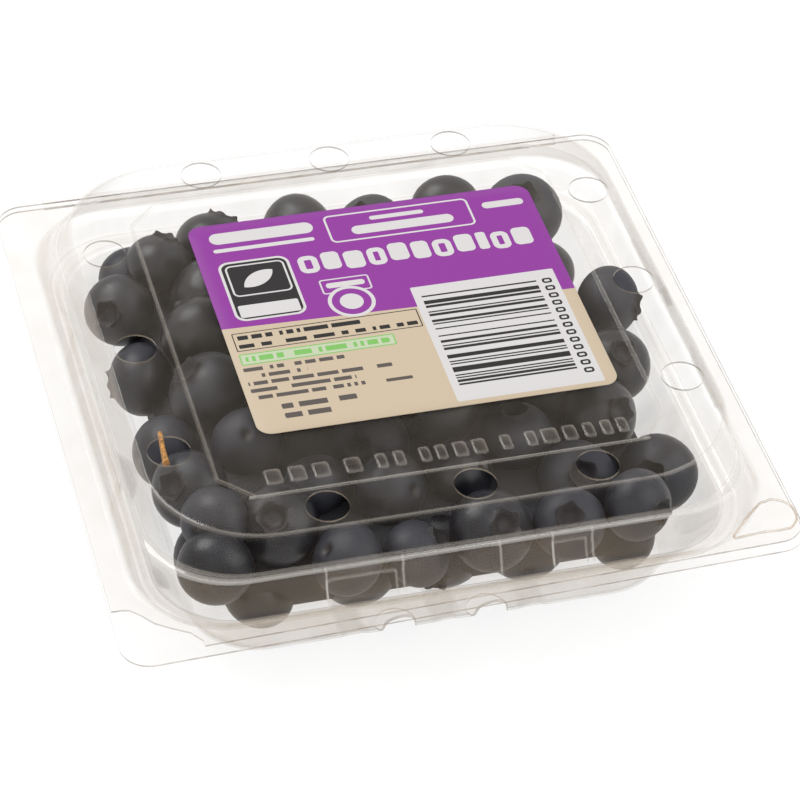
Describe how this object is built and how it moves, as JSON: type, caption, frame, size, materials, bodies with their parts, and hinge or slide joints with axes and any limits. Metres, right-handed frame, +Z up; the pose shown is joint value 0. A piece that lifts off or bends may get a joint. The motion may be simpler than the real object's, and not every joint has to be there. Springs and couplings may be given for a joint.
{
  "type": "punnet of blueberries",
  "caption": "Clear square hinged clamshell punnet with vented lid, printed label and a heap of blueberries inside.",
  "frame": {"origin": "middle of the punnet's footprint on the surface it stands on", "axes": "+Z up through the lid, +Y towards the hinged edge, +X to the right seen from the opening edge"},
  "size_m": [0.1208, 0.1215, 0.035],
  "materials": {
    "clear_tray": "clear thin thermoformed plastic",
    "clear_lid": "clear thin thermoformed plastic",
    "printed_label": "satin printed film",
    "berry_skin": "waxy fruit skin with bloom"
  },
  "bodies": {
    "tray": {"tray": "clear_tray", "blueberries": "berry_skin"},
    "lid": {"lid": "clear_lid", "label": "printed_label"}
  },
  "joints": [
    {"name": "lid_hinge", "type": "hinge", "parent": "tray", "child": "lid", "pos_m": [0, 0.0602, 0.02125], "axis": [-1, 0, 0], "range_deg": [0, 180]}
  ]
}
